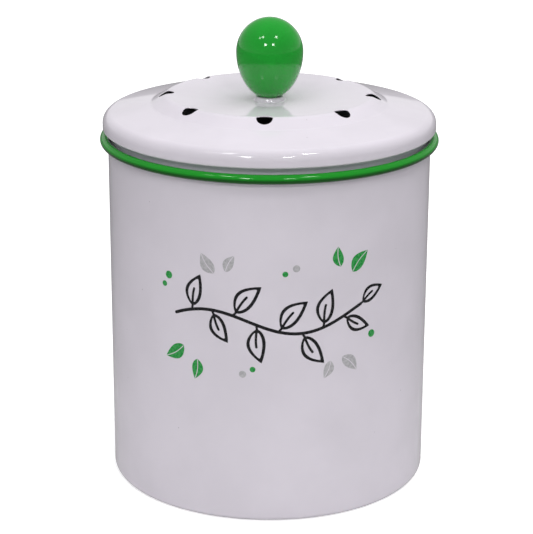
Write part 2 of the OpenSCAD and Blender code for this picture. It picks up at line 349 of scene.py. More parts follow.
class Recipe:
    """A material's node graph, built up step by step on object coordinates."""

    def __init__(self, name: str) -> None:
        """Starts a material with a plain shader.

        Args:
            name: The material's name.
        """
        self.material = bpy.data.materials.new(name)
        self.material.use_nodes = True
        self.tree = self.material.node_tree
        self.shader = self.tree.nodes["Principled BSDF"]
        self.place = self.tree.nodes.new("ShaderNodeTexCoord").outputs["Object"]

    def node(self, kind: str, inputs: dict, **settings: object) -> bpy.types.Node:
        """Adds a node.

        Args:
            kind: The node's type.
            inputs: Values or sockets for its inputs, by name or index.
            **settings: Its properties.

        Returns:
            The node.
        """
        made = self.tree.nodes.new(kind)
        for key, value in settings.items():
            setattr(made, key, value)
        for key, value in inputs.items():
            self.feed(made.inputs[key], value)
        return made

    def feed(self, socket: Socket, value: object) -> None:
        """Links a socket, or sets its value.

        Args:
            socket: The input.
            value: A socket to link to it, or its value.
        """
        if isinstance(value, Socket):
            self.tree.links.new(value, socket)
        elif isinstance(value, tuple) and len(value) == 3 and socket.type == "RGBA":
            socket.default_value = (*value, 1.0)
        else:
            socket.default_value = value

    def stretched(self, scale: Triple) -> Socket:
        """Object coordinates scaled along each axis."""
        inputs = {"Vector": self.place, "Scale": scale}
        return self.node("ShaderNodeMapping", inputs).outputs["Vector"]

    def noise(self, scale: float, detail: float = 2.0, at: Socket | None = None) -> Socket:
        """Cloudy noise from 0 to 1, with scale clouds to the metre."""
        inputs = {"Vector": at or self.place, "Scale": scale, "Detail": detail}
        return self.node("ShaderNodeTexNoise", inputs).outputs["Fac"]

    def spread(
        self, value: Socket, low: float, high: float, start: float = 0.0, stop: float = 1.0
    ) -> Socket:
        """Maps one span of values onto another, and keeps them there.

        Args:
            value: The value.
            low: Where its span starts.
            high: Where it stops.
            start: What the start becomes.
            stop: What the stop becomes.

        Returns:
            The mapped value.
        """
        inputs = {"Value": value, "From Min": low, "From Max": high}
        inputs |= {"To Min": start, "To Max": stop}
        return self.node("ShaderNodeMapRange", inputs, clamp=True).outputs["Result"]

    def math(self, operation: str, a: object, b: object = 0.0) -> Socket:
        """Works on one or two values."""
        return self.node("ShaderNodeMath", {0: a, 1: b}, operation=operation).outputs[0]

    def length(self, vector: Socket) -> Socket:
        """The length of a vector."""
        return self.node("ShaderNodeVectorMath", {0: vector}, operation="LENGTH").outputs["Value"]

    def mixed(self, factor: object, a: object, b: object) -> Socket:
        """Mixes two colours."""
        inputs = {0: factor, 6: a, 7: b}
        return self.node("ShaderNodeMix", inputs, data_type="RGBA").outputs[2]

    def specks(self, cell: float, size: float, share: float, core: float = 0.6) -> Socket:
        """Scattered round specks.

        Args:
            cell: Mean distance between the places where a speck could be.
            size: Radius of a speck.
            share: Share of those places that has one.
            core: Share of its radius up to which a speck is full.

        Returns:
            A mask that is 1 in a speck.
        """
        cells = self.node("ShaderNodeTexVoronoi", {"Vector": self.place, "Scale": 1 / cell})
        chance = self.node("ShaderNodeSeparateColor", {0: cells.outputs["Color"]}).outputs[0]
        near = self.spread(cells.outputs["Distance"], core * size / cell, size / cell, 1.0, 0.0)
        return self.math("MULTIPLY", near, self.math("LESS_THAN", chance, share))

    def bumped(self, height: Socket, depth: float, under: Socket | None = None) -> Socket:
        """A normal that follows a height from 0 to 1 over a depth.

        Args:
            height: The height.
            depth: How far up a height of 1 is.
            under: A normal that it is laid over, if any.

        Returns:
            The normal.
        """
        inputs = {"Height": height, "Distance": depth, "Strength": 1.0}
        if under:
            inputs["Normal"] = under
        return self.node("ShaderNodeBump", inputs).outputs["Normal"]

    def finish(self, **inputs: object) -> Material:
        """Feeds the shader's inputs.

        Args:
            **inputs: Values or sockets, with underscores for the spaces in their names.

        Returns:
            The material.
        """
        for key, value in inputs.items():
            self.feed(self.shader.inputs[key.replace("_", " ")], value)
        return self.material


@dataclass(frozen=True)
class Finish:
    """A surface finish, which each kind paints in its own way.

    Attributes:
        name: The material's name.
        colour: Its colour.
    """

    name: str
    colour: Colour

    def shades(self, r: Recipe, factor: Socket, low: float, high: float) -> Socket:
        """The colour in all shades between two."""
        return r.mixed(factor, scaled(self.colour, low), scaled(self.colour, high))

    def painted(self, r: Recipe) -> dict[str, object]:
        """What the shader's inputs take.

        Args:
            r: The recipe to build on.

        Returns:
            Values or sockets, with underscores for the spaces in the inputs' names.
        """
        raise NotImplementedError

    def material(self) -> Material:
        """Builds the material's nodes."""
        r = Recipe(self.name)
        return r.finish(**self.painted(r))


@dataclass(frozen=True)
class Enamel(Finish):
    """Fired glass enamel on steel: a deep gloss over a faintly uneven coat.

    Attributes:
        cloud: How far its colour wanders, as a share.
        speck_share: Share of places with a dark pinhole.
        speck: The pinholes' colour.
        roughness: Roughness of its clean gloss.
        ripple: Depth of the ripple in its surface.
    """

    cloud: float = 0.035
    speck_share: float = 0.05
    speck: Colour = (0.09, 0.08, 0.075)
    roughness: float = 0.045
    ripple: float = 0.00003

    def tinted(self, r: Recipe) -> Socket:
        """The coat's colour, a little uneven."""
        cloud = r.spread(r.noise(26.0, 3.0), 0.35, 0.65)
        return self.shades(r, cloud, 1 - self.cloud, 1 + self.cloud / 2)

    def painted(self, r: Recipe) -> dict[str, object]:
        """A clouded coat with pinholes, smears in its gloss and a fine orange peel.

        Args:
            r: The recipe to build on.

        Returns:
            What the shader's inputs take.
        """
        pins = r.specks(0.005, 0.00028, self.speck_share)
        colour = r.mixed(r.math("MULTIPLY", pins, 0.75), self.tinted(r), self.speck)
        smear = r.noise(60.0, 5.0, r.stretched((1.0, 1.0, 0.35)))
        wave = r.bumped(r.noise(95.0, 1.0), self.ripple)
        return dict(
            Base_Color=colour,
            Roughness=r.spread(smear, 0.3, 0.75, self.roughness, self.roughness + 0.05),
            Normal=r.bumped(r.noise(420.0, 1.5), self.ripple / 12, wave),
            IOR=1.46,
            Coat_Weight=0.1,
            Coat_Roughness=0.04,
        )


@dataclass(frozen=True)
class BandedEnamel(Enamel):
    """Enamel with a band of another colour dipped over a rolled edge, its lower side darkened with
    painted shade.

    Attributes:
        band: The band's colour.
        edge: Distance from the axis at which the band stops inside the mouth.
        waver: How far that edge wanders in and out.
        blend: Width of that edge.
        middle: Height of the middle of the roll.
        roll_r: Radius of the roll.
        painted_shade: Painted shade on the band's lower side, darkening its colour where the roll
            faces down, away from the light.
        painted_shade_span: Heights over which that painted shade fades out upwards, from the middle,
            as shares of the radius.
    """

    band: Colour = (0.014, 0.31, 0.022)
    edge: float = 0.0
    waver: float = 0.00015
    blend: float = 0.0001
    middle: float = 0.0
    roll_r: float = 0.003
    painted_shade: float = 0.25
    painted_shade_span: tuple[float, float] = (-0.2, 0.35)

    def tinted(self, r: Recipe) -> Socket:
        """The white coat, with the band over the roll and painted shade on the band's lower side.

        Args:
            r: The recipe to build on.

        Returns:
            The colour.
        """
        parts = r.node("ShaderNodeSeparateXYZ", {"Vector": r.place})
        flat = r.node("ShaderNodeCombineXYZ", {"X": parts.outputs["X"], "Y": parts.outputs["Y"]})
        uneven = r.spread(r.noise(140.0, 2.0), 0.2, 0.8, -self.waver, self.waver)
        out = r.math("ADD", r.length(flat.outputs[0]), uneven)
        over = r.spread(out, self.edge, self.edge + self.blend)
        rise = r.math("SUBTRACT", parts.outputs["Z"], self.middle)
        # Painted shade: the band is darkened below the roll's middle, standing in for the shade on
        # its underside.
        shaded_below = r.spread(rise, *(share * self.roll_r for share in self.painted_shade_span))
        band = r.mixed(shaded_below, scaled(self.band, self.painted_shade), self.band)
        return r.mixed(over, super().tinted(r), band)


@dataclass(frozen=True)
class KnobGloss(Finish):
    """Thick gloss lacquer on the knob."""

    def painted(self, r: Recipe) -> dict[str, object]:
        """A clouded colour with specks of dust under a rippled gloss.

        Args:
            r: The recipe to build on.

        Returns:
            What the shader's inputs take.
        """
        cloud = r.spread(r.noise(70.0, 4.0), 0.3, 0.7)
        dust = r.math("MULTIPLY", r.specks(0.003, 0.00012, 0.12), 0.5)
        return dict(
            Base_Color=r.mixed(dust, self.shades(r, cloud, 0.93, 1.06), scaled(self.colour, 1.8)),
            Roughness=r.spread(r.noise(110.0, 5.0), 0.3, 0.75, 0.06, 0.11),
            Normal=r.bumped(r.noise(140.0, 1.5), 0.00005),
            IOR=1.46,
            Coat_Weight=0.2,
            Coat_Roughness=0.03,
        )


@dataclass(frozen=True)
class Silicone(Finish):
    """Soft pale silicone with a dusty sheen."""

    def painted(self, r: Recipe) -> dict[str, object]:
        """A hazy, faintly translucent skin.

        Args:
            r: The recipe to build on.

        Returns:
            What the shader's inputs take.
        """
        haze = r.noise(120.0, 4.0)
        return dict(
            Base_Color=self.shades(r, haze, 0.92, 1.05),
            Roughness=r.spread(haze, 0.3, 0.7, 0.42, 0.58),
            Normal=r.bumped(r.noise(2500.0, 2.0), 0.000008),
            Subsurface_Weight=0.25,
            Subsurface_Radius=(0.004, 0.004, 0.004),
            Sheen_Weight=0.15,
        )


@dataclass(frozen=True)
class SheetSteel(Finish):
    """Bare or plated steel with fine drawn lines.

    Attributes:
        tint: The colour of its patches.
        roughness: Its mean roughness.
        lines: How the lines stretch along each axis.
    """

    tint: Colour
    roughness: float
    lines: Triple = (1.0, 1.0, 14.0)

    def painted(self, r: Recipe) -> dict[str, object]:
        """Patches of another tint and fine lines in the gloss.

        Args:
            r: The recipe to build on.

        Returns:
            What the shader's inputs take.
        """
        patch = r.spread(r.noise(240.0, 3.0), 0.35, 0.7)
        line = r.noise(500.0, 4.0, r.stretched(self.lines))
        return dict(
            Base_Color=r.mixed(patch, self.colour, self.tint),
            Roughness=r.spread(line, 0.25, 0.75, self.roughness - 0.07, self.roughness + 0.1),
            Normal=r.bumped(line, 0.000006),
            Metallic=1.0,
        )


@dataclass(frozen=True)
class MouldedPlastic(Finish):
    """Satin moulded plastic with a spark-eroded grain."""

    def painted(self, r: Recipe) -> dict[str, object]:
        """Flow marks in the colour and a fine grain.

        Args:
            r: The recipe to build on.

        Returns:
            What the shader's inputs take.
        """
        flow = r.spread(r.noise(45.0, 5.0), 0.3, 0.7)
        grain = r.noise(2600.0, 2.0)
        return dict(
            Base_Color=self.shades(r, flow, 0.85, 1.2),
            Roughness=r.spread(grain, 0.3, 0.7, 0.38, 0.52),
            Normal=r.bumped(grain, 0.000018),
            IOR=1.49,
        )


@dataclass(frozen=True)
class CharcoalFelt(Finish):
    """Needle felt loaded with charcoal: matted dark fibres with dusty grains."""

    def painted(self, r: Recipe) -> dict[str, object]:
        """Matted fibres over coarse tufts, dotted with pale grains.

        Args:
            r: The recipe to build on.

        Returns:
            What the shader's inputs take.
        """
        mat = r.noise(900.0, 6.0)
        tuft = r.noise(260.0, 4.0)
        fibres = self.shades(r, r.spread(mat, 0.42, 0.68), 0.6, 2.6)
        grains = r.math("MULTIPLY", r.specks(0.0016, 0.00022, 0.35), 0.6)
        return dict(
            Base_Color=r.mixed(grains, fibres, scaled(self.colour, 5.0)),
            Roughness=0.95,
            Normal=r.bumped(mat, 0.00035, r.bumped(tuft, 0.0006)),
            Sheen_Weight=0.35,
            Sheen_Roughness=0.6,
        )


@dataclass(frozen=True)
class PrintInk(Finish):
    """Screen ink on enamel: an even film with a slightly softer gloss."""

    def painted(self, r: Recipe) -> dict[str, object]:
        """A film that is a little thicker here and there.

        Args:
            r: The recipe to build on.

        Returns:
            What the shader's inputs take.
        """
        film = r.spread(r.noise(700.0, 4.0), 0.35, 0.65)
        return dict(
            Base_Color=self.shades(r, film, 0.92, 1.08),
            Roughness=r.spread(film, 0.0, 1.0, 0.24, 0.32),
            Normal=r.bumped(film, 0.000003),
            IOR=1.48,
        )


WHITE = Enamel("white_enamel", (0.731, 0.693, 0.747))
# A cooler, greener copy of the white enamel: the tint is a painted reflection of the green rim in
# the shaded gap under the hem.
WHITE_WITH_PAINTED_REFLECTION = Enamel("white_enamel_painted_reflection", (0.715, 0.735, 0.765))
KNOB = KnobGloss("green_lacquer", (0.014, 0.33, 0.03))
RUBBER = Silicone("clear_silicone", (0.62, 0.63, 0.64))
CLIP = SheetSteel("clip_sheet", (0.62, 0.62, 0.63), (0.5, 0.5, 0.52), 0.34)
ZINC = SheetSteel("zinc_plate", (0.6, 0.6, 0.61), (0.62, 0.57, 0.47), 0.28)
BRASS = SheetSteel("turned_brass", (0.76, 0.56, 0.26), (0.62, 0.42, 0.17), 0.24)
TRAY_PLASTIC = MouldedPlastic("tray_polypropylene", (0.045, 0.045, 0.05))
FELT = CharcoalFelt("charcoal_needle_felt", (0.022, 0.022, 0.024))
INKS = {
    Ink.BLACK: PrintInk("ink_black", linear(24, 24, 27)),
    Ink.GREEN: PrintInk("ink_green", linear(44, 152, 70)),
    Ink.GREY: PrintInk("ink_grey", linear(180, 179, 181)),
}


# ---------------------------------------------------------------- pieces


def made_piece(
    name: str,
    bm: Mesh,
    finish: Finish,
    body: Body,
    replaces: Sequence[str] = (),
) -> Piece:
    """Makes a finished mesh into a piece of the caddy.

    Args:
        name: The piece's name.
        bm: Its mesh, which is freed.
        finish: Its finish.
        body: The body that it rides on.
        replaces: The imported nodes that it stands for.

    Returns:
        The new object.
    """
    for face in bm.faces:
        face.smooth = True
    for edge in bm.edges:
        edge.smooth = edge.calc_face_angle(0.0) < SHARP
    piece = linked(name, bm)
    piece.data.materials.append(finish.material())
    even = piece.modifiers.new("even_shading", "WEIGHTED_NORMAL")
    even.keep_sharp = True
    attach(piece, body.value)
    if replaces:
        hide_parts(*replaces)
    log.info("%s: %d faces on %s", name, len(piece.data.polygons), body.value)
    return piece


# ---------------------------------------------------------------- pot


@dataclass(frozen=True)
class Pot:
    """The deep-drawn pot: base panel, base ring, wall and rolled rim.

    Attributes:
        wall_r: Outer radius of the wall.
        sheet: Thickness of the enamelled sheet.
        corner_r: Radius of the corner between base and wall.
        ring_w: Width of the flat ring it stands on, bends included.
        recess: How far the base panel is raised.
        rim_z: Top of the rolled rim.
        roll_r: Radius of the roll.
        roll_end: Angle at which the roll's tail stops.
        band_edge: Angle on the roll, above level, at which the coloured band stops inside.
        roll_steps: Straight pieces in the roll's section.
    """

    wall_r: float = 0.092
    sheet: float = 0.0007
    corner_r: float = 0.0025
    ring_w: float = 0.019
    recess: float = 0.0012
    rim_z: float = 0.2007
    roll_r: float = 0.00265
    roll_end: float = -127.14
    band_edge: float = 140.0
    roll_steps: int = 44

    @property
    def inner_r(self) -> float:
        """Inner radius of the wall."""
        return self.wall_r - self.sheet

    @property
    def roll_centre(self) -> Vector:
        """Middle of the roll's section."""
        return Vector((self.inner_r + self.roll_r, self.rim_z - self.roll_r))

    def build(self) -> None:
        """Makes the wall with its base, and the rim."""
        self.wall()
        self.rim()

    def wall(self) -> None:
        """Spins the wall and the base from one sheet."""
        panel_r = self.wall_r - self.corner_r - self.ring_w
        path = bent_path(
            [
                Corner(0.0, self.recess),
                Corner(panel_r, self.recess, self.recess),
                Corner(panel_r + 2 * self.recess, 0.0, self.recess),
                Corner(self.wall_r, 0.0, self.corner_r),
                Corner(self.wall_r, self.roll_centre.y),
            ],
            steps=12,
        )
        bm = spun(sheet_section(path, self.sheet), AROUND, closed=False)
        made_piece("pot_wall", bm, WHITE, Body.CADDY, ["body_shell"])

    def rim(self) -> None:
        """Rolls the wall's top edge outwards into a bead."""
        outer, inner = (
            arc(self.roll_centre, r, 180, self.roll_end, self.roll_steps)
            for r in (self.roll_r, self.roll_r - self.sheet)
        )
        bm = spun([*outer, *reversed(inner)], AROUND, closed=True)
        edge = self.roll_centre.x + self.roll_r * math.cos(math.radians(self.band_edge))
        enamel = BandedEnamel(
            "banded_enamel", WHITE.colour, edge=edge, middle=self.roll_centre.y, roll_r=self.roll_r
        )
        made_piece("rolled_rim", bm, enamel, Body.CADDY, ["rim_bead"])


# ---------------------------------------------------------------- lid


@dataclass(frozen=True)
class Vents:
    """A ring of round vents, laid out on the mesh grid of the lid, one to a sector.

    Attributes:
        at_r: Distance of their centres from the axis.
        vent_r: Radius of a vent.
        first: Angle of the first one, in degrees.
        lip: Radius of the rounded lip on either side.
        grid: Grid cells in a sector.
        hole_cells: Grid cells from a vent's centre to its edge.
        block_cells: Grid cells from a vent's centre to undisturbed grid.
        slack: Rounding allowed for in a place on the grid.
        lip_depth: Depth of the lip, as a share of its radius.
    """

    at_r: float = 0.0589
    vent_r: float = 0.00445
    first: float = -92.5
    lip: float = 0.00035
    grid: int = 64
    hole_cells: int = 6
    block_cells: int = 9
    slack: float = 0.01
    lip_depth: float = 0.9

    @property
    def cell(self) -> float:
        """Angle of one grid cell."""
        return math.tau / SECTORS / self.grid

    @property
    def pitch(self) -> float:
        """Size of one grid cell at the vents."""
        return self.cell * self.at_r

    @property
    def radii(self) -> list[float]:
        """Radii of the grid lines across a vent, from the outside in."""
        span = range(self.block_cells, -self.block_cells - 1, -1)
        return [self.at_r + k * self.pitch for k in span]

    def pierced(self, section: Path, top: Path, under: Path) -> Mesh:
        """Spins a sheet's section and opens the vents in it.

        Args:
            section: The sheet's section, with the grid lines' radii on both sides.
            top: Path of its upper side.
            under: Path of its lower side.

        Returns:
            The whole sheet, with its first vent at its angle.
        """
        bm = spun_sector(section, self.grid, closed=True, start=-self.cell * self.grid / 2)
        self.open_vent(bm, top, under)
        full_turn(bm)
        first = Matrix.Rotation(math.radians(self.first), 3, "Z")
        bmesh.ops.rotate(bm, verts=bm.verts, cent=(0, 0, 0), matrix=first)
        return bm

    def open_vent(self, bm: Mesh, top: Path, under: Path) -> None:
        """Bends the grid round the vent on the +X axis, cuts its middle out and joins both sides.

        Args:
            bm: The sector.
            top: Path of the sheet's upper side.
            under: Path of its lower side.
        """
        cells = self.block(bm)
        away = {v: max(abs(u), abs(w)) for v, (u, w) in cells.items()}
        sides = {v: self.side_of(v, top, under) for v in cells}
        for v, (u, w) in cells.items():
            share = (away[v] - self.hole_cells) / (self.block_cells - self.hole_cells)
            if -self.slack < share < 1 - self.slack:
                circle = self.centre + self.spoke(u, w) * (self.vent_r + self.lip)
                self.settle(v, circle.lerp(Vector((v.co.x, v.co.y)), share), sides[v])
        core = {
            f
            for v in cells
            for f in v.link_faces
            if all(away.get(x, math.inf) < self.hole_cells + 0.5 for x in f.verts)
        }
        bmesh.ops.delete(bm, geom=list(core), context="FACES")
        rings = [e for e in bm.edges if e.is_boundary and all(v in cells for v in e.verts)]
        ends = []
        for path, way in ((top, -1.0), (under, 1.0)):
            ring = [e for e in rings if sides[e.verts[0]] is path]
            ends += self.lipped(bm, ring, path, way)
        bmesh.ops.bridge_loops(bm, edges=ends)

    @property
    def centre(self) -> Vector:
        """The centre of the vent on the +X axis, seen from above."""
        return Vector((self.at_r, 0.0))

    def block(self, bm: Mesh) -> dict[bmesh.types.BMVert, tuple[float, float]]:
        """Finds the vertices round the vent.

        Args:
            bm: The sector.

        Returns:
            Each vertex with its place on the grid, across and outwards.
        """
        found = {}
        for v in bm.verts:
            r = math.hypot(v.co.x, v.co.y)
            u, w = math.atan2(v.co.y, v.co.x) / self.cell, (r - self.at_r) / self.pitch
            if max(abs(u), abs(w)) < self.block_cells + 0.5:
                found[v] = (u, w)
        return found

    def spoke(self, u: float, w: float) -> Vector:
        """The direction in which a grid cell's place on a square turns into one on a circle.

        Args:
            u: Cells across from the vent's centre.
            w: Cells outwards from it.

        Returns:
            The direction, 1 long.
        """
        if max(abs(u), abs(w)) < self.slack:
            return Vector((1.0, 0.0))
        if abs(u) >= abs(w):
            around = math.pi / 4 * w / u
            return Vector((math.sin(around), math.cos(around))) * math.copysign(1.0, u)
        around = math.pi / 4 * u / w
        return Vector((math.cos(around), math.sin(around))) * math.copysign(1.0, w)

    def side_of(self, v: bmesh.types.BMVert, top: Path, under: Path) -> Path:
        """The path of the side that a vertex lies on."""
        r = math.hypot(v.co.x, v.co.y)
        return top if v.co.z > 0.5 * (height_at(top, r) + height_at(under, r)) else under

    def settle(self, v: bmesh.types.BMVert, flat: Vector, path: Path) -> None:
        """Puts a vertex on one side of the sheet at a place seen from above."""
        v.co = (flat.x, flat.y, height_at(path, flat.length))

    def lipped(
        self,
        bm: Mesh,
        ring: list[bmesh.types.BMEdge],
        path: Path,
        way: float,
        rounds: int = 4,
    ) -> list[bmesh.types.BMEdge]:
        """Rounds a vent's edge into its bore.

        Args:
            bm: The sheet.
            ring: The open edges round the vent, on one side.
            path: Path of that side.
            way: -1 to go down from the upper side, 1 to go up from the lower one.
            rounds: Strips in the rounding.

        Returns:
            The open edges at the end of the rounding.
        """
        for k in range(1, rounds + 1):
            turn = math.pi / 2 * k / rounds
            made = bmesh.ops.extrude_edge_only(bm, edges=ring)["geom"]
            ring = [g for g in made if isinstance(g, bmesh.types.BMEdge) and g.is_boundary]
            for v in {v for e in ring for v in e.verts}:
                spoke = (Vector((v.co.x, v.co.y)) - self.centre).normalized()
                reach = self.vent_r + self.lip * (1 - math.sin(turn))
                self.settle(v, self.centre + spoke * reach, path)
                v.co.z += way * self.lip * (1 - math.cos(turn)) * self.lip_depth
        return ring


@dataclass(frozen=True)
class Lid:
    """The pressed lid: hemmed pan with vents, collar, gasket and the clips for the tray.

    Attributes:
        lid_r: Outer radius.
        sheet: Thickness of the pan's sheet.
        hem_z: Underside of the hem.
        shoulder_z: Height of the rounded shoulder's corner.
        foot: Where the ledge meets the rise to the ridge.
        ridge: The ridge with the vents.
        dish: The dish's lowest place, at the foot of the boss.
        boss: The boss's edge.
        crest_r: Distances from the axis between which the vents' grid lies.
        screw_hole_r: Radius of the hole for the knob's screw.
        hem_lip: Width of the hem's flat underside.
        hem_bend: Bend radius of the hem.
        shoulder_bend: Bend radius of the shoulder.
        collar_sheet: Thickness of the collar's sheet.
        groove: Depth of the groove for the gasket.
        neck_r: Outer radius of the collar.
        neck_bend: Bend radius between the collar and its flange.
        flange_r: Outer radius of the collar's flange.
        groove_top_z: Upper edge of the groove.
        groove_z: Bottom of the groove's straight part.
        collar_z: Lower end of the collar.
        gasket_t: Thickness of the gasket's sleeve.
        gasket_gap: Gap at either end of the sleeve.
        fin_r: Radius to which the gasket's fins reach.
        vents: The ring of vents.
    """

    lid_r: float = 0.0949
    sheet: float = 0.0007
    hem_z: float = 0.2039
    shoulder_z: float = 0.2128
    foot: Corner = Corner(0.0674, 0.2181, 0.005)
    ridge: Corner = Corner(0.0587, 0.2232, 0.006)
    dish: Corner = Corner(0.0088, 0.2195, 0.0008)
    boss: Corner = Corner(0.008, 0.2218, 0.0008)
    crest_r: tuple[float, float] = (0.03, 0.085)
    screw_hole_r: float = 0.0023
    hem_lip: float = 0.0033
    hem_bend: float = 0.0012
    shoulder_bend: float = 0.0062
    collar_sheet: float = 0.0006
    groove: float = 0.0016
    neck_r: float = 0.0896
    neck_bend: float = 0.001
    flange_r: float = 0.0936
    groove_top_z: float = 0.1983
    groove_z: float = 0.1901
    collar_z: float = 0.1877
    gasket_t: float = 0.0014
    gasket_gap: float = 0.0001
    fin_r: float = 0.091
    vents: Vents = field(default_factory=Vents)

    def build(self) -> None:
        """Makes every piece of the lid."""
        self.pan()
        self.collar()
        self.gasket()
        self.clips()

    def pan(self) -> None:
        """Spins the pan from one sheet and opens the vents."""
        corners = [
            Corner(self.lid_r - self.hem_lip, self.hem_z),
            Corner(self.lid_r, self.hem_z, self.hem_bend),
            Corner(self.lid_r, self.shoulder_z, self.shoulder_bend),
            self.foot,
            self.ridge,
            self.dish,
            self.boss,
            Corner(self.screw_hole_r, self.boss.z),
        ]
        path = bent_path(corners, steps=8)
        fine = bent_path(corners, steps=40, longest=0.002)
        under, under_fine = offset_path(path, self.sheet), offset_path(fine, self.sheet)
        crests = [self.crest(line) for line in (fine, under_fine)]
        section = [*self.gridded(path, crests[0]), *reversed(self.gridded(under, crests[1]))]
        bm = self.vents.pierced(section, *crests)
        made_piece("lid_top", bm, WHITE, Body.LID, ["lid_pan"])

    def crest(self, path: Path) -> list[Vector]:
        """The part of a path from the ledge over the ridge into the dish."""
        low, high = self.crest_r
        return [p for p in path if low < p.x < high and p.y > self.hem_z + self.sheet * 2]

    def gridded(self, path: Path, crest: Path) -> list[Vector]:
        """Puts the vents' grid lines into a path in place of its own points there.

        Args:
            path: Path of one side of the sheet.
            crest: The same side, finely divided.

        Returns:
            The path with the grid lines in it.
        """
        lines, margin = self.vents.radii, 0.0003
        spot = [
            i
            for i, p in enumerate(path)
            if lines[-1] - margin < p.x < lines[0] + margin and p.y > crest[0].y
        ]
        grid = [Vector((r, height_at(crest, r))) for r in lines]
        return [*path[: spot[0]], *grid, *path[spot[-1] + 1 :]]

    def collar(self) -> None:
        """Spins the collar that drops into the pot's mouth, with its groove."""
        groove_r = self.neck_r - self.groove
        path = bent_path(
            [
                Corner(self.flange_r, self.hem_z + self.sheet),
                Corner(self.neck_r, self.hem_z + self.sheet, self.neck_bend),
                Corner(self.neck_r, self.groove_top_z),
                Corner(groove_r, self.groove_top_z - self.groove),
                Corner(groove_r, self.groove_z),
                Corner(self.neck_r, self.groove_z - self.groove),
                Corner(self.neck_r, self.collar_z),
            ]
        )
        bm = eased(spun(sheet_section(path, -self.collar_sheet), AROUND, closed=True))
        # The collar's enamel carries a tint that is a painted reflection of the green rim.
        made_piece("lid_neck", bm, WHITE_WITH_PAINTED_REFLECTION, Body.LID, ["lid_collar"])

    def gasket(self, fins: int = 2, root: float = 0.0012, tip: float = 0.0005) -> None:
        """Spins the silicone sleeve with its fins.

        Args:
            fins: Number of fins.
            root: Width of a fin at the sleeve.
            tip: Width of its end.
        """
        r = self.neck_r - self.groove
        out = r + self.gasket_t
        low = self.groove_z + self.gasket_gap
        high = self.groove_top_z - self.groove - self.gasket_gap
        pitch = (high - low) / (fins + 1)
        spots = [(r, low), (out, low)]
        for k in range(1, fins + 1):
            z = low + k * pitch
            spots += [(out, z - root / 2), (self.fin_r, z - tip / 2)]
            spots += [(self.fin_r, z + tip / 2), (out, z + root / 2)]
        spots += [(out, high), (r, high)]
        bm = eased(spun([Vector(spot) for spot in spots], AROUND, closed=True))
        made_piece("gasket_sleeve", bm, RUBBER, Body.LID, ["lid_gasket"])

    def clips(self) -> None:
        """Takes over the three clips, with their cut edges eased."""
        bm = eased(merged_copy("filter_clips"))
        made_piece("tray_clips", bm, CLIP, Body.LID, ["filter_clips"])


# ---------------------------------------------------------------- knob


@dataclass(frozen=True)
class Knob:
    """The egg-shaped knob on its boss, with the fastener that holds it.

    Attributes:
        knob_r: Largest radius.
        foot_r: Radius of the flat that sits on the boss.
        foot_z: Height of that flat.
        wide_z: Height of the widest place.
        top_z: Top.
        pocket_r: Radius of the pocket for the insert.
        pocket_z: Top of that pocket.
        foot_ease: Radius of the foot's eased edge.
        steps: Pieces in the full turn.
        arc_steps: Straight pieces below the widest place, and as many above it.
    """

    knob_r: float = 0.019
    foot_r: float = 0.0062
    foot_z: float = 0.2218
    wide_z: float = 0.2472
    top_z: float = 0.2668
    pocket_r: float = 0.0035
    pocket_z: float = 0.234
    foot_ease: float = 0.0004
    steps: int = 160
    arc_steps: int = 30

    def build(self) -> None:
        """Makes the knob and dresses its fastener."""
        self.egg()
        self.dress_fastener()

    def egg(self) -> None:
        """Spins the knob: half an ellipse below its widest place and a round top above it."""
        low_h = (self.wide_z - self.foot_z) / math.sqrt(1 - (self.foot_r / self.knob_r) ** 2)
        dome_h = self.top_z - self.wide_z
        cut = -math.asin((self.wide_z - self.foot_z) / low_h)
        steps = range(self.arc_steps + 1)
        bulge = [(cut * (1 - k / self.arc_steps), low_h) for k in steps]
        bulge += [(math.pi / 2 * k / self.arc_steps, dome_h) for k in steps[1:]]
        spots = [
            (0.0, self.pocket_z),
            (self.pocket_r, self.pocket_z),
            (self.pocket_r, self.foot_z),
            (self.foot_r - self.foot_ease, self.foot_z),
            *[(self.knob_r * math.cos(a), self.wide_z + h * math.sin(a)) for a, h in bulge],
        ]
        bm = spun([Vector(spot) for spot in spots], self.steps, closed=False)
        made_piece("knob_egg", bm, KNOB, Body.LID, ["knob"])

    def dress_fastener(self) -> None:
        """Gives the screw, its washers and the insert their metals."""
        zinc = ZINC.material()
        for node in ("knob_screw", "spring_washer", "flat_washer"):
            dress_node(node, zinc)
        dress_node("knob_insert", BRASS.material())


def dress_node(node: str, material: Material) -> None:
    """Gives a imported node's shown mesh a material.

    Args:
        node: The node's name.
        material: The material.
    """
    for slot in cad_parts[node].material_slots:
        slot.material = material
    log.info("%s: packed node dressed in %s", node, material.name)


# ---------------------------------------------------------------- filter


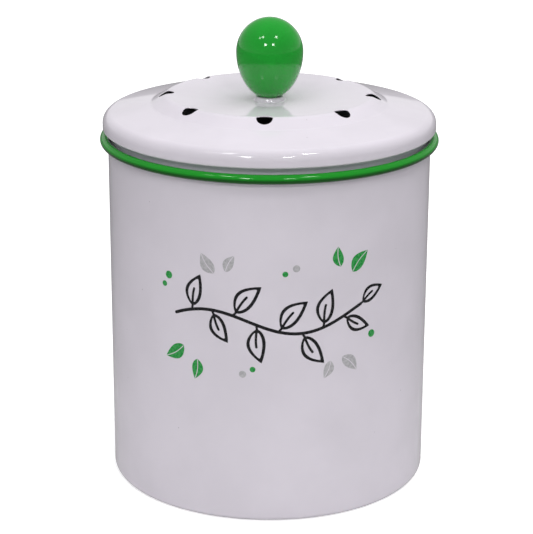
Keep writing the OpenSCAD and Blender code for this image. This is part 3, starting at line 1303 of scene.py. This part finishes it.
@dataclass(frozen=True)
class Filter:
    """The charcoal filter: a moulded tray with a grip, and the felt pad in it.

    Attributes:
        pad_r: Radius of the pad.
        pad_z: Underside of the pad.
        pad_t: Its thickness.
        round_r: Radius of its soft edge.
        round_steps: Straight pieces in that edge, above and below.
        rings: Rings on each face of the pad.
        steps: Pieces in the pad's full turn.
        sag: Twice the mean depth of the dents at the middle of its faces.
        lumps: Waves to the metre and weight of each noise that makes the dents.
        rough_from: Share of its radius from which its edge is dented too.
        tray_ease: Radius of the tray's moulded edges.
    """

    pad_r: float = 0.0645
    pad_z: float = 0.2074
    pad_t: float = 0.006
    round_r: float = 0.0014
    round_steps: int = 6
    rings: int = 40
    steps: int = 240
    sag: float = 0.00022
    lumps: tuple[tuple[float, float], ...] = ((160.0, 0.5), (520.0, 0.35))
    rough_from: float = 0.97
    tray_ease: float = 0.00018

    def build(self) -> None:
        """Makes the tray and the pad."""
        self.tray()
        self.pad()

    def tray(self) -> None:
        """Takes over the tray, with its moulded edges eased."""
        bm = eased(merged_copy("filter_tray"), self.tray_ease)
        made_piece("filter_basket", bm, TRAY_PLASTIC, Body.TRAY, ["filter_tray"])

    def pad(self) -> None:
        """Spins the felt pad and roughens its faces a little, within its space."""
        low, high, r = self.pad_z, self.pad_z + self.pad_t, self.pad_r
        soft = self.round_r
        rings = [(r - soft) * (1 - k / self.rings) for k in range(1, self.rings + 1)]
        section = [
            *[Vector((x, low)) for x in reversed(rings)],
            *arc(Vector((r - soft, low + soft)), soft, -90, 0, self.round_steps),
            *arc(Vector((r - soft, high - soft)), soft, 0, 90, self.round_steps),
            *[Vector((x, high)) for x in rings],
        ]
        bm = spun(section, self.steps, closed=False)
        middle = 0.5 * (low + high)
        for v in bm.verts:
            lump = sum(noise.noise(v.co * scale) * weight for scale, weight in self.lumps)
            sink = self.sag * (0.5 + lump * 0.5)
            inward = Vector((v.co.x, v.co.y, 0.0))
            out = inward.length / r
            v.co.z -= math.copysign(sink * (1 + out * out), v.co.z - middle)
            if out > self.rough_from:
                v.co -= inward.normalized() * sink
        pad = made_piece("charcoal_pad", bm, FELT, Body.TRAY, ["charcoal_filter"])


# ---------------------------------------------------------------- decoration


@dataclass(frozen=True)
class Sprig:
    """A leafy sprig printed on the front of the pot, wrapped round the wall.

    Attributes:
        wall_r: Outer radius of the wall.
        middle_z: Height of the middle of the print.
        stroke: Width of a line.
        cap_steps: Straight pieces in half of a line's round end.
        midrib: Width of a leaf's midrib.
        film: How far the ink stands out from the enamel.
        sink: How far it reaches into the enamel.
        stem_w: Width of the whole stem.
        stem_steps: Straight pieces in the stem.
        sway: Height of the stem's wave.
        phase: Where in that wave its left end is, in radians.
        climb: How far the stem climbs from left to right.
        stalk: Length of the stalk between the stem and a leaf.
        leaf_steps: Straight pieces in each side of a leaf.
        leaf_form: Exponents that shape a leaf's side along and across it.
        tip_gap: Distance from a leaf's tip to its inner outline, in strokes.
        curl: How far an outlined leaf's midrib bows, as a share of its length.
        rib_points: Points of an outlined leaf's midrib that are drawn.
        solid_form: A filled leaf's width and the bow of its midrib, as shares of its length.
        bare: Half the width of the bare midrib in a filled leaf.
        narrow: Half the width below which a filled leaf is drawn to a point.
        weld: Distance within which the print's vertices are joined.
    """

    wall_r: float = 0.092
    middle_z: float = 0.1175
    stroke: float = 0.0018
    cap_steps: int = 5
    midrib: float = 0.00135
    film: float = 0.00004
    sink: float = 0.00006
    stem_w: float = 0.108
    stem_steps: int = 60
    sway: float = 0.0075
    phase: float = 0.5
    climb: float = 0.006
    stalk: float = 0.0022
    leaf_steps: int = 18
    leaf_form: tuple[float, float] = (0.8, 0.9)
    tip_gap: float = 1.6
    curl: float = 0.08
    rib_points: int = 11
    solid_form: tuple[float, float] = (0.56, 0.07)
    bare: float = 0.00022
    narrow: float = 0.0003
    weld: float = 1e-6

    def build(self) -> None:
        """Prints every colour as one piece."""
        sheets = {ink: bmesh.new() for ink in Ink}
        self.draw(sheets)
        for ink, bm in sheets.items():
            self.printed(ink, bm)

    def draw(self, sheets: dict[Ink, Mesh]) -> None:
        """Draws the sprig flat, with x across the front and y up, both in metres.

        Args:
            sheets: A flat mesh for each ink.
        """
        black = sheets[Ink.BLACK]
        stem = [self.stem_at(k / self.stem_steps) for k in range(self.stem_steps + 1)]
        self.line(black, stem, self.stroke)
        for t, length, lean, width in LEAVES:
            self.leaf_outline(black, self.stem_at(t), self.stem_heading(t) + lean, length, width)
        for ink, x, y, length, heading in LOOSE_LEAVES:
            self.leaf_solid(sheets[ink], Vector((x, y)), heading, length)
        for ink, x, y, r in BERRIES:
            self.dot(sheets[ink], Vector((x, y)), r)

    def stem_at(self, t: float) -> Vector:
        """A point on the stem, with t from 0 at its left end to 1 at its right end."""
        wave = self.sway * math.sin(math.tau * t + self.phase)
        return Vector((self.stem_w * (t - 0.5), wave + self.climb * (t - 0.5)))

    def stem_heading(self, t: float, step: float = 0.01) -> float:
        """The stem's direction at t, in degrees."""
        run = self.stem_at(t + step) - self.stem_at(t - step)
        return math.degrees(math.atan2(run.y, run.x))

    def line(self, bm: Mesh, path: Path, width: float) -> None:
        """Draws a line with round ends along a path.

        Args:
            bm: The ink's mesh.
            path: The line's middle.
            width: Its width.
        """
        half = width / 2
        runs = [b - a for a, b in zip(path, path[1:])]
        lengths = [0.0, *accumulate(run.length for run in runs)]
        total = lengths[-1]
        n = self.cap_steps
        caps = [half * (1 - math.cos(math.pi / 2 * k / n)) for k in range(n)]
        inner = [s for s in lengths if half < s < total - half]
        left, right = [], []
        for s in sorted({*caps, *[total - c for c in caps], *inner}):
            i = max(k for k, length in enumerate(lengths[:-1]) if length <= s + 1e-12)
            at = path[i] + runs[i].normalized() * (s - lengths[i])
            short = max(0.0, half - min(s, total - s))
            reach = math.sqrt(max(0.0, half**2 - short**2))
            normal = Vector((-runs[i].y, runs[i].x)).normalized()
            left.append(at + normal * reach)
            right.append(at - normal * reach)
        self.ribbon(bm, left, right)

    def leaf_sides(
        self,
        base: Vector,
        heading: float,
        length: float,
        width: float,
        curl: float,
        inset: float = 0.0,
    ) -> tuple[list[Vector], list[Vector], list[Vector]]:
        """Outlines a leaf.

        Args:
            base: Where it starts.
            heading: The way it points, in degrees.
            length: Its length.
            width: Its width.
            curl: How far its midrib bows, as a share of its length.
            inset: How far its outline is drawn in.

        Returns:
            Its left side, midrib and right side, from base to tip.
        """
        along = turned(Vector((1.0, 0.0)), math.radians(heading))
        across = Vector((-along.y, along.x))
        along_form, across_form = self.leaf_form
        count = self.leaf_steps
        left, rib, right = [], [], []
        for k in range(count + 1):
            t = inset / length + k / count * (1 - (1 + self.tip_gap) * inset / length)
            bow = curl * length * math.sin(math.pi * t)
            middle = base + along * (length * t) + across * bow
            half = 0.0
            if 0 < k < count:
                full = width / 2 * math.sin(math.pi * t**along_form) ** across_form
                half = max(0.0, full - inset)
            left.append(middle + across * half)
            right.append(middle - across * half)
            rib.append(middle)
        return left, rib, right

    def leaf_outline(
        self, bm: Mesh, base: Vector, heading: float, length: float, width: float
    ) -> None:
        """Draws a leaf as a line round it, with a midrib that stops short of the tip.

        Args:
            bm: The ink's mesh.
            base: Where the leaf starts.
            heading: The way it points, in degrees.
            length: Its length.
            width: Its width.
        """
        curl = math.copysign(self.curl, heading)
        start = base + turned(Vector((self.stalk, 0.0)), math.radians(heading))
        outer = self.leaf_sides(start, heading, length, width, curl)
        inner = self.leaf_sides(start, heading, length, width, curl, inset=self.stroke)
        self.ribbon(bm, outer[0], inner[0])
        self.ribbon(bm, inner[2], outer[2])
        self.line(bm, [base, *outer[1][: self.rib_points]], self.midrib)

    def leaf_solid(self, bm: Mesh, base: Vector, heading: float, length: float) -> None:
        """Fills a leaf in two halves, with a fine bare midrib between them.

        Args:
            bm: The ink's mesh.
            base: Where the leaf starts.
            heading: The way it points, in degrees.
            length: Its length.
        """
        width, curl = self.solid_form
        left, rib, right = self.leaf_sides(base, heading, length, length * width, curl)
        gap = turned(Vector((0.0, 1.0)), math.radians(heading)) * self.bare

        def half(side: Path, away: Vector) -> tuple[Path, Path]:
            """Both sides of half the leaf, which meet where it is narrow.

            Args:
                side: The leaf's side.
                away: The way from the middle of the bare midrib to its edge.

            Returns:
                The side and that edge.
            """
            inner = [rib[0], *[p + away for p in rib[1:-1]], rib[-1]]
            spots = zip(side, inner, rib)
            return [a if (a - p).length > self.narrow else b for a, b, p in spots], inner

        self.ribbon(bm, *half(left, gap))
        self.ribbon(bm, *reversed(half(right, -gap)))

    def dot(self, bm: Mesh, centre: Vector, r: float) -> None:
        """Prints a round dot."""
        place = Matrix.Translation((centre.x, 0.0, centre.y)) @ Matrix.Rotation(math.pi / 2, 4, "X")
        bmesh.ops.create_circle(bm, cap_ends=True, radius=r, segments=24, matrix=place)

    def ribbon(self, bm: Mesh, left: Path, right: Path) -> None:
        """Fills between two sides: a first cross edge is drawn out along them.

        Args:
            bm: The ink's mesh.
            left: Points of one side.
            right: As many points of the other.
        """
        pair = [bm.verts.new((p.x, 0.0, p.y)) for p in (left[0], right[0])]
        edge = bm.edges.new(pair)
        for ends in zip(left[1:], right[1:]):
            made = bmesh.ops.extrude_edge_only(bm, edges=[edge])["geom"]
            edge = next(g for g in made if isinstance(g, bmesh.types.BMEdge))
            fresh = {e.other_vert(v): v for v in edge.verts for e in v.link_edges if e is not edge}
            pair = [fresh[v] for v in pair]
            for v, p in zip(pair, ends):
                v.co = (p.x, 0.0, p.y)

    def printed(self, ink: Ink, bm: Mesh) -> None:
        """Gives a colour its film thickness and wraps it round the wall.

        Args:
            ink: The colour.
            bm: All that it prints, flat.
        """
        bmesh.ops.remove_doubles(bm, verts=bm.verts, dist=self.weld)
        bmesh.ops.dissolve_degenerate(bm, edges=bm.edges, dist=self.weld)
        bmesh.ops.triangulate(bm, faces=[f for f in bm.faces if len(f.verts) > 4])
        made = bmesh.ops.extrude_face_region(bm, geom=bm.faces[:])["geom"]
        raised = {g for g in made if isinstance(g, bmesh.types.BMVert)}
        for v in bm.verts:
            r = self.wall_r + (self.film if v in raised else -self.sink)
            angle = v.co.x / self.wall_r
            v.co = (r * math.sin(angle), -r * math.cos(angle), v.co.z + self.middle_z)
        bmesh.ops.recalc_face_normals(bm, faces=bm.faces)
        made_piece(f"print_{ink.value}", bm, INKS[ink], Body.CADDY)


LEAVES = [
    (0.10, 0.019, 62.0, 0.0100),
    (0.21, 0.018, -60.0, 0.0095),
    (0.32, 0.021, 64.0, 0.0110),
    (0.44, 0.020, -62.0, 0.0105),
    (0.55, 0.021, 60.0, 0.0110),
    (0.67, 0.020, -58.0, 0.0105),
    (0.78, 0.020, 58.0, 0.0105),
    (0.89, 0.017, -52.0, 0.0090),
    (0.985, 0.016, 4.0, 0.0088),
]
LOOSE_LEAVES = [
    (Ink.GREEN, -0.0485, -0.0175, 0.0145, 215.0),
    (Ink.GREEN, -0.0400, -0.0240, 0.0120, 262.0),
    (Ink.GREEN, 0.0475, 0.0255, 0.0145, 48.0),
    (Ink.GREEN, 0.0400, 0.0295, 0.0115, 98.0),
    (Ink.GREY, -0.0300, 0.0265, 0.0130, 125.0),
    (Ink.GREY, -0.0235, 0.0280, 0.0105, 62.0),
    (Ink.GREY, 0.0420, -0.0225, 0.0130, -45.0),
    (Ink.GREY, 0.0350, -0.0240, 0.0105, -112.0),
]
BERRIES = [
    (Ink.GREEN, -0.0580, 0.0215, 0.0022),
    (Ink.GREEN, -0.0610, 0.0160, 0.0016),
    (Ink.GREEN, 0.0610, -0.0125, 0.0022),
    (Ink.GREY, -0.0140, -0.0300, 0.0020),
    (Ink.GREY, 0.0150, 0.0305, 0.0020),
    (Ink.GREEN, 0.0090, 0.0275, 0.0016),
    (Ink.GREEN, -0.0085, -0.0270, 0.0016),
]


# ---------------------------------------------------------------- studio


@dataclass(frozen=True)
class Lamp:
    """A square lamp aimed at the pot.

    Attributes:
        name: Its name.
        turn: Its angle from the front, towards +X, in degrees.
        height: Its elevation, in degrees.
        reach: Its distance.
        width: Its width and height.
        watts: Its power.
        in_gloss: Whether gloss shows it.
    """

    name: str
    turn: float
    height: float
    reach: float
    width: float
    watts: float
    in_gloss: bool = True

    def hang(self) -> None:
        """Hangs the lamp and aims it."""
        turn, height = math.radians(self.turn), math.radians(self.height)
        way = Vector((-math.sin(turn), math.cos(turn), -math.tan(height))).normalized()
        data = bpy.data.lights.new(self.name, "AREA")
        data.size = self.width
        data.energy = self.watts
        lamp = bpy.data.objects.new(self.name, data)
        lamp.location = AIM - self.reach * way
        lamp.rotation_euler = way.to_track_quat("-Z", "Y").to_euler()
        lamp.visible_glossy = self.in_gloss
        bpy.context.scene.collection.objects.link(lamp)


@dataclass(frozen=True)
class Card:
    """A ring of grey card round the pot, which only gloss sees.

    Attributes:
        name: Its name.
        radius: Its radius.
        height: Its height.
        level: Its brightness at the top and on its roof.
        foot: Its brightness at the floor.
        front: Share of that brightness that its front has.
        roofed: Whether it is closed at the top.
        fade: How steeply it darkens from the floor upwards.
    """

    name: str
    radius: float
    height: float
    level: float
    foot: float
    front: float = 1.0
    roofed: bool = False
    fade: float = 3.0

    def stand(self) -> None:
        """Stands the card up."""
        bm = bmesh.new()
        bmesh.ops.create_circle(bm, radius=self.radius, segments=STAGE_STEPS)
        wall = bmesh.ops.extrude_edge_only(bm, edges=bm.edges[:])["geom"]
        top = [g for g in wall if isinstance(g, bmesh.types.BMVert)]
        bmesh.ops.translate(bm, vec=(0, 0, self.height), verts=top)
        if self.roofed:
            bmesh.ops.contextual_create(bm, geom=top)
        card = linked(self.name, bm)
        r = Recipe(self.name)
        parts = r.node("ShaderNodeSeparateXYZ", {"Vector": r.place})
        low = r.math("POWER", r.spread(parts.outputs["Z"], 0.0, self.height, 1.0, 0.0), self.fade)
        share = r.spread(parts.outputs["Y"], -self.radius, self.radius, self.front, 1.0)
        glow = r.math("MULTIPLY", r.spread(low, 0.0, 1.0, self.level, self.foot), share)
        card.data.materials.append(
            r.finish(
                Base_Color=(0.0, 0.0, 0.0),
                Specular_IOR_Level=0.0,
                Emission_Color=(1.0, 1.0, 1.0),
                Emission_Strength=glow,
            )
        )
        card.visible_camera = False
        card.visible_diffuse = False
        card.visible_transmission = False
        card.visible_shadow = False


AIM = Vector((0.0, 0.0, 0.15))
LAMPS = (
    Lamp("overhead", 0, 85, 2.2, 3.0, 12.5, in_gloss=False),
    Lamp("behind_left", -140, 50, 2.0, 1.6, 4.0, in_gloss=False),
    Lamp("behind_right", 140, 50, 2.0, 1.6, 16.0, in_gloss=False),
    Lamp("front_0", -37, 56, 1.6, 0.19, 1.5),
    Lamp("front_1", 37, 56, 1.6, 0.19, 2.0),
    Lamp("front_2", -16, 34, 1.6, 0.19, 2.9),
    Lamp("front_3", 14, 34, 1.6, 0.19, 2.4),
    Lamp("front_4", -50, 50, 1.6, 0.14, 0.5),
)
CARDS = (
    Card("flag_mat", 0.17, 0.0004, 0.4, 0.4, roofed=True),
    Card("flag_ring", 0.17, 0.19, 0.2, 0.4),
    Card("flag_step", 0.45, 0.25, 0.2, 0.8, front=0.3),
    Card("flag_tent", 1.9, 2.0, 0.3, 1.0, front=0.3, roofed=True),
)


@dataclass(frozen=True)
class Studio:
    """A pale floor, soft lamps, cards and the camera.

    Attributes:
        sky: Strength of the even light from all round.
        sky_tint: Its colour.
        floor_r: Radius of the floor.
        white_r: Distance at which the floor has faded to plain white.
        glow: Glow of the floor at the pot, and the distance to which that reaches.
        paper: The paper's grey at the pot and far away, and the distance where it starts to fade.
        eye: Where the camera stands.
        yaw: Turn of its view to the right, in radians.
        pitch: Its look downwards, in radians.
        roll: Its tilt, in radians.
        lens: Its focal length in millimetres.
        sensor: Width of its sensor in millimetres.
    """

    sky: float = 0.53
    sky_tint: Colour = (0.97, 0.96, 1.0)
    floor_r: float = 6.0
    white_r: float = 0.6
    glow: tuple[float, float] = (0.42, 0.2)
    paper: Triple = (0.8, 0.3, 0.22)
    eye: Triple = (0.00097, -1.04557, 0.45993)
    yaw: float = -0.0022
    pitch: float = 0.3149
    roll: float = 0.0040
    lens: float = 126.7
    sensor: float = 36.0

    def build(self) -> None:
        """Sets up the world, the floor, the lamps, the cards and the camera."""
        bpy.context.scene.view_settings.view_transform = "Standard"
        self.world()
        self.floor()
        for lamp in LAMPS:
            lamp.hang()
        for card in CARDS:
            card.stand()
        self.camera()

    def seen_directly(self, tree: bpy.types.NodeTree) -> Socket:
        """1 for what the camera sees, also in gloss and through clear things.

        Args:
            tree: The node tree to build in.

        Returns:
            The socket.
        """
        path = tree.nodes.new("ShaderNodeLightPath")
        total = path.outputs["Is Camera Ray"]
        for name in ("Is Glossy Ray", "Is Transmission Ray"):
            add = tree.nodes.new("ShaderNodeMath")
            add.operation = "MAXIMUM"
            tree.links.new(total, add.inputs[0])
            tree.links.new(path.outputs[name], add.inputs[1])
            total = add.outputs[0]
        return total

    def world(self) -> None:
        """Makes an even white surround that lights at a plain level."""
        world = bpy.data.worlds.new("studio")
        world.use_nodes = True
        tree = world.node_tree
        light = tree.nodes["Background"]
        white = tree.nodes.new("ShaderNodeBackground")
        for node, tint, level in ((light, self.sky_tint, self.sky), (white, (1.0, 1.0, 1.0), 1.0)):
            node.inputs["Color"].default_value = (*tint, 1.0)
            node.inputs["Strength"].default_value = level
        mix = tree.nodes.new("ShaderNodeMixShader")
        feeds = (self.seen_directly(tree), light.outputs[0], white.outputs[0])
        for source, socket in zip(feeds, mix.inputs):
            tree.links.new(source, socket)
        tree.links.new(mix.outputs[0], tree.nodes["World Output"].inputs[0])
        bpy.context.scene.world = world

    def floor(self) -> None:
        """Lays a pale floor that keeps the caddy's shadow."""
        bm = bmesh.new()
        bmesh.ops.create_circle(bm, cap_ends=True, radius=self.floor_r, segments=STAGE_STEPS)
        floor = linked("floor", bm)
        near, far, start = self.paper
        r = Recipe("floor_paper")
        away = r.length(r.place)
        lift = r.spread(away, self.glow[1], self.white_r, self.glow[0], 1.0)
        floor.data.materials.append(
            r.finish(
                Base_Color=r.mixed(r.spread(away, start, self.white_r), (near,) * 3, (far,) * 3),
                Roughness=0.9,
                Specular_IOR_Level=0.1,
                Emission_Color=(1.0, 1.0, 1.0),
                Emission_Strength=r.math("MULTIPLY", self.seen_directly(r.tree), lift),
            )
        )

    def camera(self) -> None:
        """Stands the camera in front, a little above the rim and looking down."""
        flat = math.cos(self.pitch)
        ahead = Vector(
            (math.sin(self.yaw) * flat, math.cos(self.yaw) * flat, -math.sin(self.pitch))
        )
        right = Vector((math.cos(self.yaw), -math.sin(self.yaw), 0.0))
        up = right.cross(ahead)
        c, s = math.cos(self.roll), math.sin(self.roll)
        turn = Matrix((c * right + s * up, c * up - s * right, -ahead)).transposed()
        data = bpy.data.cameras.new("camera")
        data.lens = self.lens
        data.sensor_width = self.sensor
        camera = bpy.data.objects.new("camera", data)
        camera.matrix_world = Matrix.Translation(self.eye) @ turn.to_4x4()
        bpy.context.scene.collection.objects.link(camera)
        bpy.context.scene.camera = camera


def main() -> None:
    """Builds and dresses the caddy, then the studio round it."""
    logging.basicConfig(level=logging.INFO, format="%(name)s: %(message)s")
    for part in (Pot(), Sprig(), Lid(), Knob(), Filter()):
        part.build()
    Studio().build()


if __name__ == "__main__":
    main()
